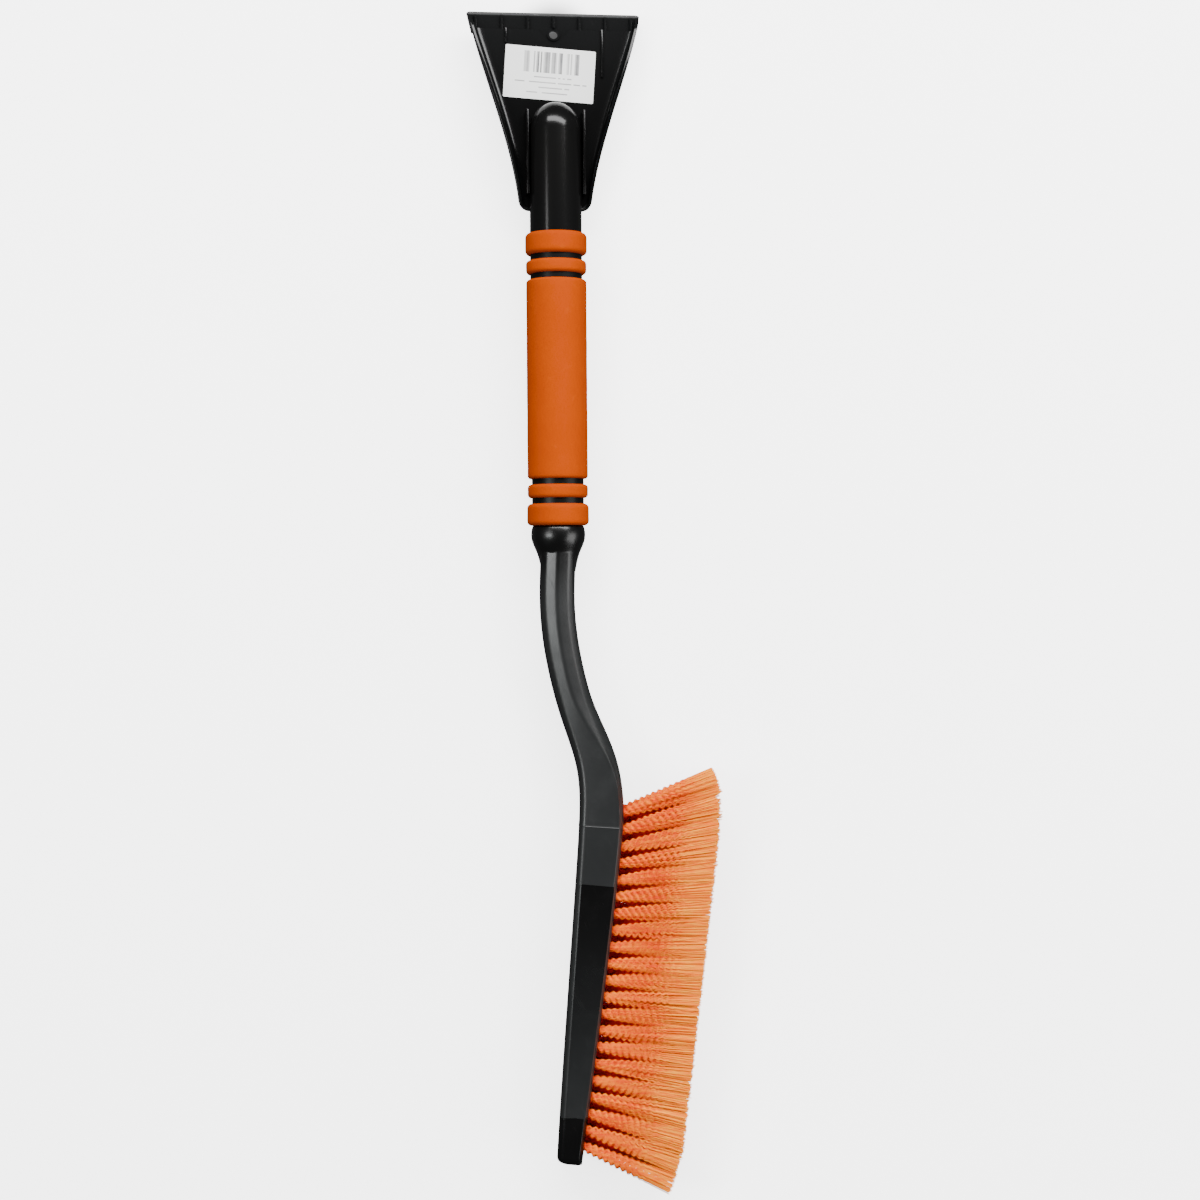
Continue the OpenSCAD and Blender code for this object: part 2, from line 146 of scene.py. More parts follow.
class Value:
    """A number that varies over a surface. Arithmetic on it adds Math nodes."""

    def __init__(self, finish, socket):
        self.finish = finish
        self.socket = socket

    def maths(self, operation, *inputs):
        links = dict(enumerate(inputs))
        node = self.finish.node("ShaderNodeMath", {"operation": operation}, links)
        return Value(self.finish, node.outputs[0])

    def __add__(self, other):
        return self.maths("ADD", self, other)

    def __sub__(self, other):
        return self.maths("SUBTRACT", self, other)

    def __rsub__(self, other):
        return self.maths("SUBTRACT", other, self)

    def __mul__(self, other):
        return self.maths("MULTIPLY", self, other)

    def __truediv__(self, other):
        return self.maths("DIVIDE", self, other)

    def __pow__(self, other):
        return self.maths("POWER", self, other)

    __radd__ = __add__
    __rmul__ = __mul__

    def ramp(self, start, end):
        """0 below start, 1 above end, and smooth between them."""
        links = {"Value": self, "From Min": start, "From Max": end}
        settings = {"interpolation_type": "SMOOTHSTEP", "clamp": True}
        node = self.finish.node("ShaderNodeMapRange", settings, links)
        return Value(self.finish, node.outputs[0])

    def below(self, limit):
        return self.maths("LESS_THAN", self, limit)

    def above(self, limit):
        return self.maths("GREATER_THAN", self, limit)

    def floor(self):
        return self.maths("FLOOR", self)

    def size(self):
        return self.maths("ABSOLUTE", self)


class Finish:
    """A procedural material: a Principled shader and the nodes that feed it."""

    def __init__(self, name, uniform):
        self.material = bpy.data.materials.new(name)
        self.material.use_nodes = True
        self.tree = self.material.node_tree
        self.shader = self.tree.nodes["Principled BSDF"]
        for socket, value in uniform.items():
            self.shader.inputs[socket].default_value = value
        self.place = self.node("ShaderNodeTexCoord", {}, {}).outputs["Object"]

    def node(self, kind, settings, links):
        """Adds a node, sets its settings, then sets or links its inputs."""
        node = self.tree.nodes.new(kind)
        for name, value in settings.items():
            setattr(node, name, value)
        for name, value in links.items():
            self.plug(node.inputs[name], value)
        return node

    def plug(self, socket, value):
        if isinstance(value, Value):
            value = value.socket
        if isinstance(value, bpy.types.NodeSocket):
            self.tree.links.new(value, socket)
        else:
            socket.default_value = value

    def feed(self, name, value):
        self.plug(self.shader.inputs[name], value)

    def noise(self, scale, detail=2.0, roughness=0.5, place=None):
        place = place or self.place
        links = {"Vector": place, "Scale": scale, "Detail": detail, "Roughness": roughness}
        return Value(self, self.node("ShaderNodeTexNoise", {}, links).outputs[0])

    def cells(self, scale):
        node = self.node("ShaderNodeTexVoronoi", {}, {"Vector": self.place, "Scale": scale})
        return Value(self, node.outputs["Distance"])

    def mapped(self, location=(0, 0, 0), rotation=(0, 0, 0), scale=(1, 1, 1)):
        links = {"Vector": self.place, "Location": location, "Rotation": rotation, "Scale": scale}
        return self.node("ShaderNodeMapping", {"vector_type": "TEXTURE"}, links).outputs[0]

    def parts(self, place=None):
        """The x, y and z of a place, each as a Value."""
        node = self.node("ShaderNodeSeparateXYZ", {}, {"Vector": place or self.place})
        return [Value(self, socket) for socket in node.outputs]

    def blend(self, low, high, share):
        """A colour between low and high."""
        node = self.node("ShaderNodeMix", {"data_type": "RGBA"}, {})
        self.plug(node.inputs[0], share)
        self.plug(node.inputs[6], low)
        self.plug(node.inputs[7], high)
        return node.outputs[2]

    def bump(self, height, distance, strength=1.0):
        links = {"Height": height, "Distance": distance, "Strength": strength}
        self.feed("Normal", self.node("ShaderNodeBump", {}, links).outputs[0])


def studio_floor_finish():
    """A glowing pale floor, with a painted shadow beneath the scraper where the hanging hole shows
    it.
    """
    paint = Finish("studio_floor", {"Roughness": 0.9, "Emission Strength": 3.0})
    x, y, _ = paint.parts()
    hole = at(HANG_X, HOLE_Y)
    # Painted shadow: base colour and glow darken round the spot below the hanging hole.
    lit = (((x - hole.x) ** 2 + (y - hole.y) ** 2) ** 0.5).ramp(8 * MM, 30 * MM)
    paint.feed("Base Color", paint.blend(grey(0.05), grey(0.9), lit))
    paint.feed("Emission Color", paint.blend(grey(0.04), grey(1.0), lit))
    return paint


def grey(level, tint=0.0):
    """A grey, a little cool where tint is above 0."""
    return (level * (1 - tint), level, level * (1 + tint * 0.5), 1)


def moulded_marks(paint):
    """Flow marks, a fine grain and slanting scuffs, as both mouldings have."""
    slanting = paint.mapped(rotation=(0, 0, 0.4), scale=(1, 6, 1))
    scuffs = paint.noise(420, 4, 0.7, slanting).ramp(0.58, 0.72)
    return paint.noise(18, 3, 0.6), paint.noise(2600, 2, 0.6), scuffs


def scraper_finish():
    """The scraper's black plastic: rougher round the shank, with painted light making it lighter
    towards the blade and a painted highlight along the blade's edge.
    """
    paint = Finish("scraper_plastic", {"Specular IOR Level": 0.2})
    turned = paint.mapped(location=grip_middle, rotation=(0, HEAD_TURN, 0))
    x, y, z = paint.parts(turned)
    off_axis = (x ** 2 + z ** 2) ** 0.5
    shank = off_axis.below((TUBE_RADIUS + 0.3) * MM) * z.above((TRAY_Z + 0.1) * MM)
    shank = shank * y.below((NOSE_Y + NOSE_LENGTH) * MM)
    flow, grain, scuffs = moulded_marks(paint)
    near_blade = y.ramp(150 * MM, BLADE_Y * MM)
    # Painted light: the base is lighter towards the blade, mixed with flow marks.
    base = paint.blend(grey(0.0015), grey(0.005, 0.04), near_blade * 0.7 + flow * 0.3)
    # Painted highlight: a light grey along the blade's edge, broken up by the scuffs.
    edge = y.ramp((BLADE_Y - 2.6) * MM, (BLADE_Y - 1.2) * MM)
    base = paint.blend(base, grey(0.11), edge * (0.5 + scuffs * 0.5))
    paint.feed("Base Color", paint.blend(base, grey(0.003), shank))
    wear = scuffs * near_blade * 0.04 + edge * 0.2
    paint.feed("Roughness", flow * 0.03 + wear + shank * 0.04 + 0.13)
    paint.bump(grain * 0.3 + flow, 0.00002, 0.2)
    return paint


def arm_finish():
    """The arm's plastic: painted shade on the collar, and darker at the tip and the upper end of
    the sunk panels.
    """
    paint = Finish("arm_plastic", {"Specular IOR Level": 0.34, "IOR": 1.49})
    _, y, z = paint.parts()
    top = (z - grip_middle.z).size()
    sunk = (BLOCK_HALF_THICK - PANEL_DEPTH) * MM
    panel = top.above(sunk - 0.0001) * top.below(sunk + 0.0001)
    panel = panel * y.above(at(0, PANEL_Y[1] - 1).y) * y.below(at(0, PANEL_Y[0] + 1).y)
    flow, grain, scuffs = moulded_marks(paint)
    cloud = paint.noise(55, 4, 0.65).ramp(0.45, 0.75)
    base = paint.blend(grey(0.0072), grey(0.0126, 0.08), flow)
    # Painted shade: the base darkens over the collar and down into the neck.
    collar = y.ramp(at(0, -128).y, at(0, -98).y)
    down = y.ramp(at(0, PANEL_Y[0]).y, at(0, PANEL_Y[1] - 15).y)
    tip = y.below(at(0, PANEL_Y[1]).y)
    dark = panel * (1 - down * 1.05) + collar + tip * (1 - panel)
    paint.feed("Base Color", paint.blend(base, grey(0.0018), dark))
    marks = flow * 0.06 + scuffs * 0.08 + cloud * 0.08
    paint.feed("Roughness", marks - dark * 0.16 + collar * 0.08 + 0.32)
    paint.bump(grain + flow * 0.5, 0.00003, 0.5)
    return paint


def foam_finish():
    """Orange closed-cell foam: matt, with fine open pores and faint rubbed patches."""
    paint = Finish("foam_orange", {"Specular IOR Level": 0.02})
    pores = paint.cells(1900)
    fine = paint.noise(3200, 3, 0.7)
    patches = paint.noise(34, 3, 0.6)
    worn = paint.noise(160, 4, 0.65)
    deep = paint.blend((0.30, 0.035, 0.0, 1), (0.35, 0.045, 0.0, 1), patches)
    rubbed = paint.blend(deep, (0.40, 0.060, 0.0, 1), worn.ramp(0.56, 0.78) * 0.35)
    # Painted shade: the base is darker in the pores.
    pitted = paint.blend(rubbed, (0.22, 0.022, 0.0, 1), pores.ramp(0.32, 0.05) * 0.5)
    paint.feed("Base Color", pitted)
    paint.feed("Roughness", fine * 0.08 + 0.88)
    paint.bump(pores.ramp(0.05, 0.4) * 0.7 + fine * 0.5, 0.00012, 0.75)
    return paint


def bristle_finish():
    """Crimped filament: orange, with painted shade making it deep red inside the brush and among
    the roots, and paler at the split ends.
    """
    paint = Finish("bristle_orange", {"Specular IOR Level": 0.12})
    x, y, z = paint.parts()
    run = x - (y - at(*TRIM_AT).y) * TRIM_SLOPE - at(*TRIM_AT).x
    patches = paint.noise(70, 2, 0.5)
    strands = paint.noise(700, 2, 0.6, paint.mapped(scale=(14, 1, 1)))
    shade = strands.ramp(0.35, 0.65) * 0.7 + patches * 0.3
    body = paint.blend((0.80, 0.045, 0.0, 1), (1.0, 0.25, 0.0, 1), shade)
    pale = paint.blend((1.0, 0.20, 0.002, 1), (1.0, 0.42, 0.02, 1), shade)
    edge = run + patches * 0.012 + strands * 0.012
    tips = paint.blend(body, pale, edge.ramp(-0.020, 0.004))
    # Painted shade: deep red in the middle rows, far back from the tips.
    inner = (z - grip_middle.z).size().ramp(0.008, 0.003) * run.ramp(-0.022, -0.040)
    shaded = paint.blend(tips, (0.85, 0.016, 0.006, 1), inner)
    # Painted shade: darker red among the roots.
    roots = paint.blend((0.70, 0.012, 0.004, 1), shaded, run.ramp(-0.062, -0.050))
    paint.feed("Base Color", roots)
    paint.feed("Roughness", strands * 0.15 + 0.36)
    return paint


def tube_finish():
    """Glossy black tube, with fine drawing lines along it."""
    paint = Finish("tube_black", {"Base Color": grey(0.003), "Specular IOR Level": 0.12})
    lines = paint.noise(1500, 2, 0.6, paint.mapped(scale=(1, 60, 1)))
    paint.feed("Roughness", lines * 0.1 + 0.3)
    paint.bump(lines, 0.000015, 0.4)
    return paint


def steel_finish(name, colour):
    """Bare steel with a drawn grain."""
    paint = Finish(name, {"Base Color": colour, "Metallic": 1.0})
    grain = paint.noise(2200, 3, 0.6, paint.mapped(scale=(1, 1, 20)))
    paint.feed("Roughness", grain * 0.2 + 0.25)
    paint.bump(grain, 0.00002, 0.4)
    return paint


# ------------------------------------------------------------------ pieces


def add_piece(name, data, paint, slot, *nodes):
    """Makes an object of a mesh or curve, in place of CAD nodes."""
    data.materials.append(paint.material)
    piece = bpy.data.objects.new(name, data)
    bpy.context.scene.collection.objects.link(piece)
    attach(piece, BODY)
    if nodes:
        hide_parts(*nodes)
    return piece


def finish_mesh(bm, name, crease=35):
    """Turns a bmesh into a smooth mesh that stays sharp at edges over crease degrees."""
    bmesh.ops.remove_doubles(bm, verts=bm.verts, dist=1e-7)
    bm.normal_update()
    bmesh.ops.recalc_face_normals(bm, faces=bm.faces)
    for face in bm.faces:
        face.smooth = True
    for edge in bm.edges:
        edge.smooth = edge.calc_face_angle(0) < math.radians(crease)
    mesh = bpy.data.meshes.new(name)
    bm.to_mesh(mesh)
    bm.free()
    return mesh


def repaint(node, paint):
    """Gives a CAD node that stays its own material."""
    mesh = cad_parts[node].data
    mesh.materials.clear()
    mesh.materials.append(paint.material)


def spin_about_handle(bm, profile, steps=96):
    """Spins a closed profile of (radius, place along the handle) pairs, in millimetres."""
    verts = [bm.verts.new(at(r, y)) for r, y in profile]
    edges = [bm.edges.new((a, b)) for a, b in zip(verts, verts[1:] + verts[:1])]
    bmesh.ops.spin(
        bm, geom=verts + edges, cent=grip_middle, axis=(0, 1, 0),
        angle=2 * math.pi, steps=steps, use_merge=True,
    )


def quarter(centre, radius, start, steps=5):
    """Points on a quarter circle that turns left from start degrees."""
    turns = [math.radians(start + 90 * i / steps) for i in range(steps + 1)]
    return [(centre[0] + radius * math.cos(a), centre[1] + radius * math.sin(a)) for a in turns]


def solid(bm):
    """An object of a bmesh, for carving: it isn't kept in the scene."""
    bmesh.ops.remove_doubles(bm, verts=bm.verts, dist=1e-7)
    bm.normal_update()
    bmesh.ops.recalc_face_normals(bm, faces=bm.faces)
    mesh = bpy.data.meshes.new("solid")
    bm.to_mesh(mesh)
    bm.free()
    piece = bpy.data.objects.new("solid", mesh)
    bpy.context.scene.collection.objects.link(piece)
    return piece


def drop(piece):
    mesh = piece.data
    bpy.data.objects.remove(piece)
    bpy.data.meshes.remove(mesh)


def carved(base, steps):
    """A bmesh of base after (operation, tool) steps."""
    for operation, tool in steps:
        cut = base.modifiers.new("cut", "BOOLEAN")
        cut.operation = operation
        cut.solver = "EXACT"
        cut.use_self = True
        cut.object = tool
    seen = base.evaluated_get(bpy.context.evaluated_depsgraph_get())
    bm = bmesh.new()
    bm.from_mesh(seen.to_mesh())
    seen.to_mesh_clear()
    for piece in [base] + [tool for _, tool in steps]:
        drop(piece)
    return bm


def add_prism(bm, outline, low, high):
    """An upright prism on an outline of (x, y) points, in millimetres."""
    rings = [[bm.verts.new(at(x, y, z)) for x, y in outline] for z in (low, high)]
    join_rings(bm, rings)


def add_box(bm, low, high, rounding):
    """A box between two corners, in millimetres, with rounded edges."""
    size = (Vector(high) - Vector(low)) * MM
    place = at(*((Vector(low) + Vector(high)) / 2))
    verts = bmesh.ops.create_cube(bm, size=1, matrix=Matrix.LocRotScale(place, None, size))["verts"]
    edges = list({edge for vert in verts for edge in vert.link_edges})
    bmesh.ops.bevel(
        bm, geom=edges, offset=rounding * MM, segments=3, profile=0.5,
        affect="EDGES", material=-1,
    )


def add_rod(bm, start, end, radius, sides=32):
    """A cylinder between two places, in millimetres."""
    start, end = at(*start), at(*end)
    turn = (end - start).to_track_quat("Z", "Y")
    place = Matrix.LocRotScale((start + end) / 2, turn, None)
    bmesh.ops.create_cone(
        bm, cap_ends=True, segments=sides, radius1=radius * MM, radius2=radius * MM,
        depth=(end - start).length, matrix=place,
    )


# Foam grip

FOAM_ROUND = {"sleeve": 1.8, "band": 2.1, "end_ring": 2.6}
FOAM_LUMPS = 0.1


def foam_piece(node, rounding, paint):
    """A foam ring with soft edges and an uneven skin."""
    low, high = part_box(node)
    bore = (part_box("handle_tube")[1].x - grip_middle.x) / MM + 0.02
    outer = (high.x - grip_middle.x) / MM - 0.05
    start, end = (low.y - grip_middle.y) / MM, (high.y - grip_middle.y) / MM
    wall = max(2, round((end - start) / 2.5))
    side = [(outer, mix(start + rounding, end - rounding, i / wall)) for i in range(1, wall)]
    profile = (
        [(bore, start)]
        + quarter((outer - rounding, start + rounding), rounding, -90)
        + side
        + quarter((outer - rounding, end - rounding), rounding, 0)
        + [(bore, end)]
    )
    profile = [(max(r, bore), y) for r, y in profile]
    bm = bmesh.new()
    spin_about_handle(bm, profile)
    for vert in bm.verts:
        away = vert.co - grip_middle
        away.y = 0
        if away.length > (bore + 1) * MM:
            lump = noise.noise(vert.co * 90) + 0.5 * noise.noise(vert.co * 260)
            vert.co += away.normalized() * lump * FOAM_LUMPS * MM
    skin = finish_mesh(bm, node + "_skin", 60)
    piece = add_piece(node + "_skin", skin, paint, "foam_orange", node)


def make_grip():
    paint = foam_finish()
    foam_piece("foam_sleeve", FOAM_ROUND["sleeve"], paint)
    for side in ("upper", "lower"):
        foam_piece("foam_band_" + side, FOAM_ROUND["band"], paint)
        foam_piece("foam_end_ring_" + side, FOAM_ROUND["end_ring"], paint)


# Brush arm

BEND = [
    [(0, -96), (0, -116), (-4.5, -136.5), (6.8, -180)],
    [(6.8, -180), (14.2, -208.3), (25.2, -217.6), (23.7, -252.7)],
    [(23.7, -252.7), (22.5, -281.1), (6.6, -420), (3.8, -451.2)],
]
BEND_STEPS = (26, 24, 26)
NECK_WIDTH, BLOCK_WIDTH, TIP_WIDTH = 20.2, 25.6, 14.6
BLOCK_HALF_THICK = 15.0
NECK_RIDGE_Z, NECK_FLANK_Z = 13.0, 10.9
TAPER_Y, TAPER_POWER, WIDEN_LENGTH = -252, 1.3, 70
SWELL_Y, SWELL_POWER = -172, 1.6
RIDGE_SHIFT_Y = (-174, -238)
NECK_BEVEL, BLOCK_BEVEL, SPINE_BEVEL = (3.6, 3.2), (2.2, 2.4), 3.0
LEAST_FLANK = 1
TIP_THIN = 0.6
TIP_ROUND = 3.6
SEAM_Y = -257.9
SEAM_LIFT = 0.14
PANEL_Y = (-291, -424)
PANEL_BORDER, PANEL_EDGE = 3.6, 0.8
PANEL_DEPTH = 0.4


def bezier(points, t):
    a, b, c, d = (Vector(p) for p in points)
    place = a * (1 - t) ** 3 + b * 3 * t * (1 - t) ** 2 + c * 3 * t * t * (1 - t) + d * t ** 3
    way = (b - a) * (1 - t) ** 2 + (c - b) * 2 * t * (1 - t) + (d - c) * t * t
    return place, way.normalized()


def arm_path():
    """Places along the arm's middle, each with the way it runs."""
    stations = []
    for points, steps in zip(BEND, BEND_STEPS):
        stations += [bezier(points, i / steps) for i in range(steps)]
    return stations + [bezier(BEND[-1], 1)]


def arm_width(y):
    if y > TAPER_Y:
        return mix(NECK_WIDTH, BLOCK_WIDTH, fade(y, TAPER_Y + WIDEN_LENGTH, TAPER_Y))
    return mix(BLOCK_WIDTH, TIP_WIDTH, ((TAPER_Y - y) / (TAPER_Y - BEND[-1][-1][1])) ** TAPER_POWER)


def arm_corners(y, tip):
    """The upper half of the arm's section as (across, height, corner radius), spine first."""
    swell = min(1.0, max(0.0, (SWELL_Y - y) / (SWELL_Y - SEAM_Y))) ** SWELL_POWER
    half = arm_width(y) / 2
    flank = mix(NECK_FLANK_Z, BLOCK_HALF_THICK, swell)
    ridge = mix(NECK_RIDGE_Z, BLOCK_HALF_THICK, swell)
    side = flank - mix(NECK_BEVEL[1], BLOCK_BEVEL[1], swell)
    ridge_across = mix(0, half - BLOCK_BEVEL[1], fade(y, *RIDGE_SHIFT_Y))
    spine = -half + tip + mix(NECK_BEVEL[0], SPINE_BEVEL, swell)
    drop = tip * TIP_THIN
    return [
        (-half + tip, side - drop, 2.6),
        (spine, flank - drop, 1.2),
        (max(ridge_across, spine + LEAST_FLANK), ridge - drop, 1.6),
        (half - mix(NECK_BEVEL[0], BLOCK_BEVEL[0], swell), flank - drop, 1.0),
        (half, side - drop, 2.2),
    ]


def rounded(corners, steps=4):
    """A closed outline with each corner turned into a small curve."""
    outline = []
    count = len(corners)
    for i, (u, z, radius) in enumerate(corners):
        here = Vector((u, z))
        before = Vector(corners[i - 1][:2]) - here
        after = Vector(corners[(i + 1) % count][:2]) - here
        start = here + before.normalized() * min(radius, before.length * 0.45)
        end = here + after.normalized() * min(radius, after.length * 0.45)
        for j in range(steps + 1):
            t = j / steps
            outline.append(start * (1 - t) ** 2 + here * 2 * t * (1 - t) + end * t * t)
    return outline


def arm_ring(bm, place, way, tip=0.0, lift=0.0):
    """A ring of vertices round the arm at one station."""
    top = arm_corners(place.y, tip)
    low = [(u, -z, radius) for u, z, radius in reversed(top)]
    ring = []
    for point in rounded(top + low):
        u, z = point
        u += math.copysign(lift, u)
        z += math.copysign(lift, z)
        ring.append(bm.verts.new(at(place.x - way.y * u, place.y + way.x * u, z)))
    return ring


def join_rings(bm, rings, close=False):
    """Faces between rings of equal length, with the first and last closed."""
    for a, b in zip(rings, rings[1:]):
        for i in range(len(a)):
            j = (i + 1) % len(a)
            bm.faces.new((a[i], a[j], b[j], b[i]))
    if not close:
        bm.faces.new(reversed(rings[0]))
        bm.faces.new(rings[-1])


def across(way):
    """The direction from the block's spine to its bristles, where it runs the given way."""
    return Vector((-way.y, way.x))


def middle_y(ring):
    return sum(vert.co.y for vert in ring) / len(ring)


def arm_body():
    bm = bmesh.new()
    path = arm_path()
    clear = [station for station in path[:-1] if abs(station[0].y - SEAM_Y) > 0.5]
    rings = [arm_ring(bm, place, way) for place, way in clear]
    seam = next(i for i, ring in enumerate(rings) if middle_y(ring) < at(0, SEAM_Y).y)
    rings[seam:seam] = [
        arm_ring(bm, *block_point(SEAM_Y + step), lift=lift)
        for step, lift in ((0.32, 0), (0.1, SEAM_LIFT), (-0.1, SEAM_LIFT), (-0.32, 0))
    ]
    place, way = path[-1]
    for i in range(7):
        a = math.radians(90 * i / 6)
        end = place + way * TIP_ROUND * (math.sin(a) - 1)
        rings.append(arm_ring(bm, end, way, TIP_ROUND * (1 - math.cos(a))))
    join_rings(bm, rings)
    return bm


COLLAR_PROFILE = [
    (-84.5, 14.4), (-85.2, 14.9), (-86.4, 15.3), (-88.2, 15.6), (-90.2, 15.7), (-92.0, 15.55),
    (-93.8, 15.1), (-95.7, 14.4), (-97.6, 13.6), (-99.4, 12.8), (-101.4, 12.05), (-103.6, 11.4),
    (-106.0, 10.8), (-108.6, 10.3), (-111.0, 9.8),
]


COLLAR_CORE = 6.0


def collar_body():
    """The swollen foot of the arm where it takes the tube, tapering into the neck."""
    bm = bmesh.new()
    profile = [(r, y) for y, r in COLLAR_PROFILE]
    core = [(COLLAR_CORE, COLLAR_PROFILE[i][0]) for i in (0, -1)]
    spin_about_handle(bm, core[:1] + profile + core[1:])
    return bm


def panel_cutter(bm, side):
    """The shallow recess in one face of the block."""
    ys = [mix(*PANEL_Y, i / 10) for i in range(11)]
    points = [(block_point(y), arm_width(y) / 2) for y in ys]
    left = [place + across(way) * (PANEL_BORDER - half) for (place, way), half in points]
    right = [place + across(way) * (half - PANEL_EDGE) for (place, way), half in points]
    low, high = sorted((side * (BLOCK_HALF_THICK - PANEL_DEPTH), side * (BLOCK_HALF_THICK + 1)))
    add_prism(bm, left + right[::-1], low, high)


def make_arm():
    paint = arm_finish()
    cutters = bmesh.new()
    for side in (-1, 1):
        panel_cutter(cutters, side)
    for station in range(STATIONS):
        for share, row in station_tufts(station):
            root, tip = tuft_ends(share, row)
            way = (tip - root).normalized()
            add_rod(cutters, root - way * HOLE_DEPTH, root + way * MOUTH_ROOM, HOLE_RADIUS, 20)
    steps = [("UNION", solid(collar_body())), ("DIFFERENCE", solid(cutters))]
    bm = carved(solid(arm_body()), steps)
    mesh = finish_mesh(bm, "brush_arm_moulding", 32)
    add_piece("brush_arm_moulding", mesh, paint, "arm_plastic", "brush_arm")


# Tufts

STATIONS = 21
FIRST_ROOT_Y, LAST_ROOT_Y = -249.6, -441.4
TRIM_AT = (93.4, -247.0)
TRIM_SLOPE = 0.1215
TUFT_REACH = 58.0
ROW_ROOT_Z = (8.0, 0.0, -8.0)
ROW_TIP_Z = (12.1, 0.0, -12.1)
HOLE_RADIUS, HOLE_DEPTH, MOUTH_ROOM = 2.6, 12.0, 3
ROOT_RADIUS = 2.0
FILAMENT_RADIUS = 0.22
CRIMP_LENGTH = 3.7
CRIMP_DEPTH = 0.72
TIP_WIDTH_HALF, TIP_HEIGHT_HALF, END_WIDTH = 8.0, 5.2, 5.2
LOCKS = 6
GOLDEN_TURN = math.pi * (3 - math.sqrt(5))


def block_point(y):
    """The middle of the block at a height y, and the way the block runs there."""
    path = arm_path()
    for (a, _), (b, _) in zip(path, path[1:]):
        if a.y >= y >= b.y:
            t = (a.y - y) / (a.y - b.y)
            return a.lerp(b, t), (b - a).normalized()
    raise ValueError(y)


def tuft_root(share):
    place, way = block_point(mix(FIRST_ROOT_Y, LAST_ROOT_Y, share))
    return place + across(way) * arm_width(place.y) / 2


def tuft_lean(share):
    """How far a tuft leans below +X, in radians: they fan out from the middle of the block."""
    t = 2 * share - 1
    return math.radians(2 + 8 * t + 13 * t ** 3)


def past_trim(point):
    """How far a point is beyond the trim line, along +X."""
    return (Vector(point[:2]) - Vector(TRIM_AT)).dot(Vector((1, -TRIM_SLOPE)))


def tuft_ends(share, row):
    """Where a tuft leaves the block, and where its middle ends."""
    root = tuft_root(share)
    lean = tuft_lean(share)
    way = Vector((math.cos(lean), -math.sin(lean)))
    to_trim = -past_trim(root) / (way.x - way.y * TRIM_SLOPE)
    reach = TUFT_REACH - mix(1, 3, share) * (2 * share - 1) ** 6
    tip = root + way * min(reach, to_trim)
    return Vector((*root, ROW_ROOT_Z[row])), Vector((*tip, ROW_TIP_Z[row]))


def station_tufts(station):
    """The tufts of one station: each one's share of the way down the block, and its row."""
    for row in range(3):
        if row != 1:
            yield station / (STATIONS - 1), row
        elif station < STATIONS - 1:
            yield (station + 0.5) / (STATIONS - 1), row


def filament(root, tip, spread, wave, phase, coarse):
    """Points of one filament, in millimetres: crimped at first, then straight to its end."""
    run = tip - root
    length = run.length
    way = run.normalized()
    crimped = 0.8 * length
    count = round(crimped / CRIMP_LENGTH * (2.2 if coarse else 4.4))
    places = [crimped * i / count for i in range(count + 1)]
    places += [mix(crimped, length, t) for t in (0.35, 0.7, 1.0)]
    points = []
    for s in places:
        share = s / length
        fading = (1 - fade(share, 0.5, 0.84)) * fade(share, 0.0, 0.1)
        swing = math.sin(2 * math.pi * s / CRIMP_LENGTH + phase) * CRIMP_DEPTH * fading
        bow = math.sin(math.pi * share ** 0.8)
        points.append(root + way * s + wave * swing + spread * bow)
    return points


def tuft_filaments(station, share, row, rng):
    """The filaments of one tuft, each a list of points. They lie in locks that crimp together."""
    hidden = row == 1
    count = 60 if hidden else 90
    root, tip = tuft_ends(share, row)
    way = (tip - root).normalized()
    side = Vector((0, 0, 1)).cross(way).normalized()
    up = way.cross(side)
    turn = rng.uniform(0.7, 1.1) * rng.choice((-1, 1))
    phase = rng.uniform(0, 2 * math.pi)
    slant = rng.choice((-1, 1)) * rng.uniform(1.5, 4)
    locks = [
        (rng.uniform(-0.9, 0.9), rng.uniform(-0.9, 0.9), rng.gauss(0, 0.5)) for _ in range(LOCKS)
    ]
    strands = []
    for k in range(count):
        radius = math.sqrt((k + 0.5) / count)
        angle = k * GOLDEN_TURN
        u, v = radius * math.cos(angle), radius * math.sin(angle)
        square = 0.5 / max(abs(math.cos(angle)), abs(math.sin(angle))) + 0.5
        nearest = min(locks, key=lambda lock: (lock[0] - u) ** 2 + (lock[1] - v) ** 2)
        lock_u, lock_v, lock_phase = nearest
        u_end, v_end = mix(u, lock_u, 0.2) * square, mix(v, lock_v, 0.15) * square
        outward = (station == 0 and u > 0) or (station == STATIONS - 1 and u < 0)
        wide = END_WIDTH if outward else TIP_WIDTH_HALF
        start = root - way * 3 + (side * u + up * v) * ROOT_RADIUS
        end = tip + side * (u_end * wide + rng.gauss(0, 0.4))
        end += up * (v_end * TIP_HEIGHT_HALF + rng.gauss(0, 0.4))
        over = past_trim(end) if past_trim(tip) > -0.1 else max(past_trim(end), 0)
        end -= way * (over + rng.gauss(0.4, 0.45) + (0.0 if rng.random() > 0.08 else 1.5))
        spread = side * u * (0.0 if outward else 0.25) + up * v * rng.uniform(-0.2, 0.5)
        angle = turn + rng.gauss(0, 0.15)
        wave = side * math.sin(angle) + up * math.cos(angle)
        strand_phase = phase + lock_phase + slant * u + rng.gauss(0, 0.2)
        strands.append(filament(start, end, spread, wave, strand_phase, hidden))
    return strands


